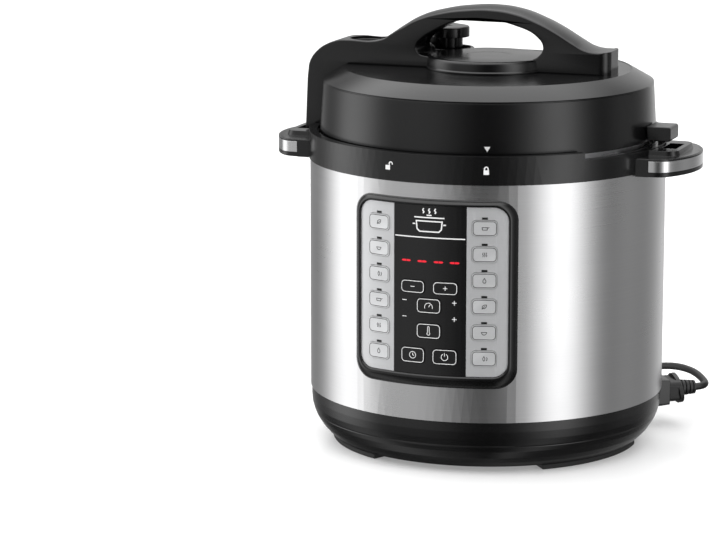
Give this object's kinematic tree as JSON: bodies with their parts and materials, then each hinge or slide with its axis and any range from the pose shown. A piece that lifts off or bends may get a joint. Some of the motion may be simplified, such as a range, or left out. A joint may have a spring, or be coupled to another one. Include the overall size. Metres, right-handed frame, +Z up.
{
  "type": "electric pressure cooker",
  "caption": "Countertop electric pressure cooker: brushed steel body, black locking lid with arched handle, keypad front panel, two side handles and mains lead.",
  "frame": {"origin": "on the floor, on the upright axis of the round body", "axes": "+Z up, -Y towards the user (the control panel faces -Y), +X to the user's right, along the lid handle"},
  "size_m": [0.322, 0.3835, 0.3234],
  "materials": {
    "satin_black": "satin moulded black plastic",
    "handle_black": "semi-gloss black plastic",
    "lid_black": "satin black plastic",
    "shell_steel": "brushed stainless steel",
    "trim_steel": "brushed stainless strip",
    "pot_steel": "polished cooking steel",
    "inner_steel": "pressed steel",
    "wire_steel": "bright steel",
    "cast_alloy": "cast aluminium",
    "bezel_black": "fine satin black plastic",
    "panel_silver": "silver film with a fine brushed look",
    "panel_gloss": "gloss black window",
    "silver_key": "silver key with a printed mark",
    "dark_key": "dark key with a printed mark",
    "board_green": "circuit board",
    "display_dark": "dark display filter",
    "foot_rubber": "rubber",
    "seal_silicone": "translucent white silicone",
    "cord_black": "black cord jacket",
    "plug_black": "black moulded plug",
    "cup_clear": "clear cup",
    "valve_red": "bare metal pin"
  },
  "bodies": {
    "housing": {"base_bowl": "satin_black", "bottom_cover": "satin_black", "feet": "foot_rubber", "bottom_screws": "wire_steel", "steel_shell": "shell_steel", "top_collar": "satin_black", "left_handle": "satin_black", "right_handle": "satin_black", "left_handle_trim": "trim_steel", "right_handle_trim": "trim_steel", "outer_pot": "inner_steel", "lock_ring": "inner_steel", "heating_plate": "cast_alloy", "panel_bezel": "bezel_black", "panel_plate_left": "panel_silver", "panel_plate_right": "panel_silver", "panel_window": "panel_gloss", "display_module": "display_dark", "control_board": "board_green", "power_board": "board_green", "power_inlet": "satin_black", "pressure_switch": "satin_black", "cord_connector": "plug_black", "cord_lead": "cord_black", "cord_coil": "cord_black", "wall_plug": "plug_black", "cord_tie": "cord_black"},
    "inner_pot": {"inner_pot": "pot_steel"},
    "seal": {"sealing_ring": "seal_silicone"},
    "lid": {"lid_cover": "lid_black", "lid_handle": "handle_black", "lid_fin": "lid_black", "inner_lid": "inner_steel", "seal_rack": "wire_steel", "exhaust_stem": "inner_steel", "exhaust_shield": "inner_steel", "lid_screws": "wire_steel"},
    "float_valve": {"float_valve": "valve_red"},
    "steam_release_knob": {"steam_release_knob": "handle_black"},
    "condensation_cup": {"condensation_cup": "cup_clear"},
    "temperature_sensor": {"temperature_sensor": "cast_alloy"},
    "key_left_1": {"key_left_1": "silver_key"},
    "key_left_2": {"key_left_2": "silver_key"},
    "key_left_3": {"key_left_3": "silver_key"},
    "key_left_4": {"key_left_4": "silver_key"},
    "key_left_5": {"key_left_5": "silver_key"},
    "key_left_6": {"key_left_6": "silver_key"},
    "key_right_1": {"key_right_1": "silver_key"},
    "key_right_2": {"key_right_2": "silver_key"},
    "key_right_3": {"key_right_3": "silver_key"},
    "key_right_4": {"key_right_4": "silver_key"},
    "key_right_5": {"key_right_5": "silver_key"},
    "key_right_6": {"key_right_6": "silver_key"},
    "minus_key": {"minus_key": "dark_key"},
    "plus_key": {"plus_key": "dark_key"},
    "pressure_key": {"pressure_key": "dark_key"},
    "temperature_key": {"temperature_key": "dark_key"},
    "delay_key": {"delay_key": "dark_key"},
    "start_key": {"start_key": "dark_key"}
  },
  "joints": [
    {"name": "pot_lift", "type": "slide", "parent": "housing", "child": "inner_pot", "axis": [0, 0, 1], "range_m": [0, 0.175]},
    {"name": "lid_lift", "type": "slide", "parent": "inner_pot", "child": "seal", "axis": [0, 0, 1], "range_m": [0, 0.2]},
    {"name": "lid_turn", "type": "hinge", "parent": "seal", "child": "lid", "pos_m": [0, 0, 0.232], "axis": [0, 0, 1], "range_deg": [-32, 0]},
    {"name": "float_valve_rise", "type": "slide", "parent": "lid", "child": "float_valve", "axis": [0, 0, 1], "range_m": [0, 0.005]},
    {"name": "knob_turn", "type": "hinge", "parent": "lid", "child": "steam_release_knob", "pos_m": [-0.042, 0.035, 0.294], "axis": [0, 0, 1], "range_deg": [0, 50]},
    {"name": "cup_slide", "type": "slide", "parent": "housing", "child": "condensation_cup", "axis": [0, 1, 0], "range_m": [0, 0.05]},
    {"name": "sensor_press", "type": "slide", "parent": "housing", "child": "temperature_sensor", "axis": [0, 0, 1], "range_m": [-0.003, 0], "stiffness_N_per_m": 400, "springref_m": 0.002},
    {"name": "key_left_1_press", "type": "slide", "parent": "housing", "child": "key_left_1", "axis": [0.294, 0.9558, 0], "range_m": [0, 0.0005], "stiffness_N_per_m": 1500},
    {"name": "key_left_2_press", "type": "slide", "parent": "housing", "child": "key_left_2", "axis": [0.294, 0.9558, 0], "range_m": [0, 0.0005], "stiffness_N_per_m": 1500},
    {"name": "key_left_3_press", "type": "slide", "parent": "housing", "child": "key_left_3", "axis": [0.294, 0.9558, 0], "range_m": [0, 0.0005], "stiffness_N_per_m": 1500},
    {"name": "key_left_4_press", "type": "slide", "parent": "housing", "child": "key_left_4", "axis": [0.294, 0.9558, 0], "range_m": [0, 0.0005], "stiffness_N_per_m": 1500},
    {"name": "key_left_5_press", "type": "slide", "parent": "housing", "child": "key_left_5", "axis": [0.294, 0.9558, 0], "range_m": [0, 0.0005], "stiffness_N_per_m": 1500},
    {"name": "key_left_6_press", "type": "slide", "parent": "housing", "child": "key_left_6", "axis": [0.294, 0.9558, 0], "range_m": [0, 0.0005], "stiffness_N_per_m": 1500},
    {"name": "key_right_1_press", "type": "slide", "parent": "housing", "child": "key_right_1", "axis": [-0.294, 0.9558, 0], "range_m": [0, 0.0005], "stiffness_N_per_m": 1500},
    {"name": "key_right_2_press", "type": "slide", "parent": "housing", "child": "key_right_2", "axis": [-0.294, 0.9558, 0], "range_m": [0, 0.0005], "stiffness_N_per_m": 1500},
    {"name": "key_right_3_press", "type": "slide", "parent": "housing", "child": "key_right_3", "axis": [-0.294, 0.9558, 0], "range_m": [0, 0.0005], "stiffness_N_per_m": 1500},
    {"name": "key_right_4_press", "type": "slide", "parent": "housing", "child": "key_right_4", "axis": [-0.294, 0.9558, 0], "range_m": [0, 0.0005], "stiffness_N_per_m": 1500},
    {"name": "key_right_5_press", "type": "slide", "parent": "housing", "child": "key_right_5", "axis": [-0.294, 0.9558, 0], "range_m": [0, 0.0005], "stiffness_N_per_m": 1500},
    {"name": "key_right_6_press", "type": "slide", "parent": "housing", "child": "key_right_6", "axis": [-0.294, 0.9558, 0], "range_m": [0, 0.0005], "stiffness_N_per_m": 1500},
    {"name": "minus_key_press", "type": "slide", "parent": "housing", "child": "minus_key", "axis": [0.0906, 0.9959, 0], "range_m": [0, 0.0005], "stiffness_N_per_m": 1500},
    {"name": "plus_key_press", "type": "slide", "parent": "housing", "child": "plus_key", "axis": [-0.0906, 0.9959, 0], "range_m": [0, 0.0005], "stiffness_N_per_m": 1500},
    {"name": "pressure_key_press", "type": "slide", "parent": "housing", "child": "pressure_key", "axis": [0, 1, 0], "range_m": [0, 0.0005], "stiffness_N_per_m": 1500},
    {"name": "temperature_key_press", "type": "slide", "parent": "housing", "child": "temperature_key", "axis": [0, 1, 0], "range_m": [0, 0.0005], "stiffness_N_per_m": 1500},
    {"name": "delay_key_press", "type": "slide", "parent": "housing", "child": "delay_key", "axis": [0.0889, 0.996, 0], "range_m": [0, 0.0005], "stiffness_N_per_m": 1500},
    {"name": "start_key_press", "type": "slide", "parent": "housing", "child": "start_key", "axis": [-0.0889, 0.996, 0], "range_m": [0, 0.0005], "stiffness_N_per_m": 1500}
  ]
}
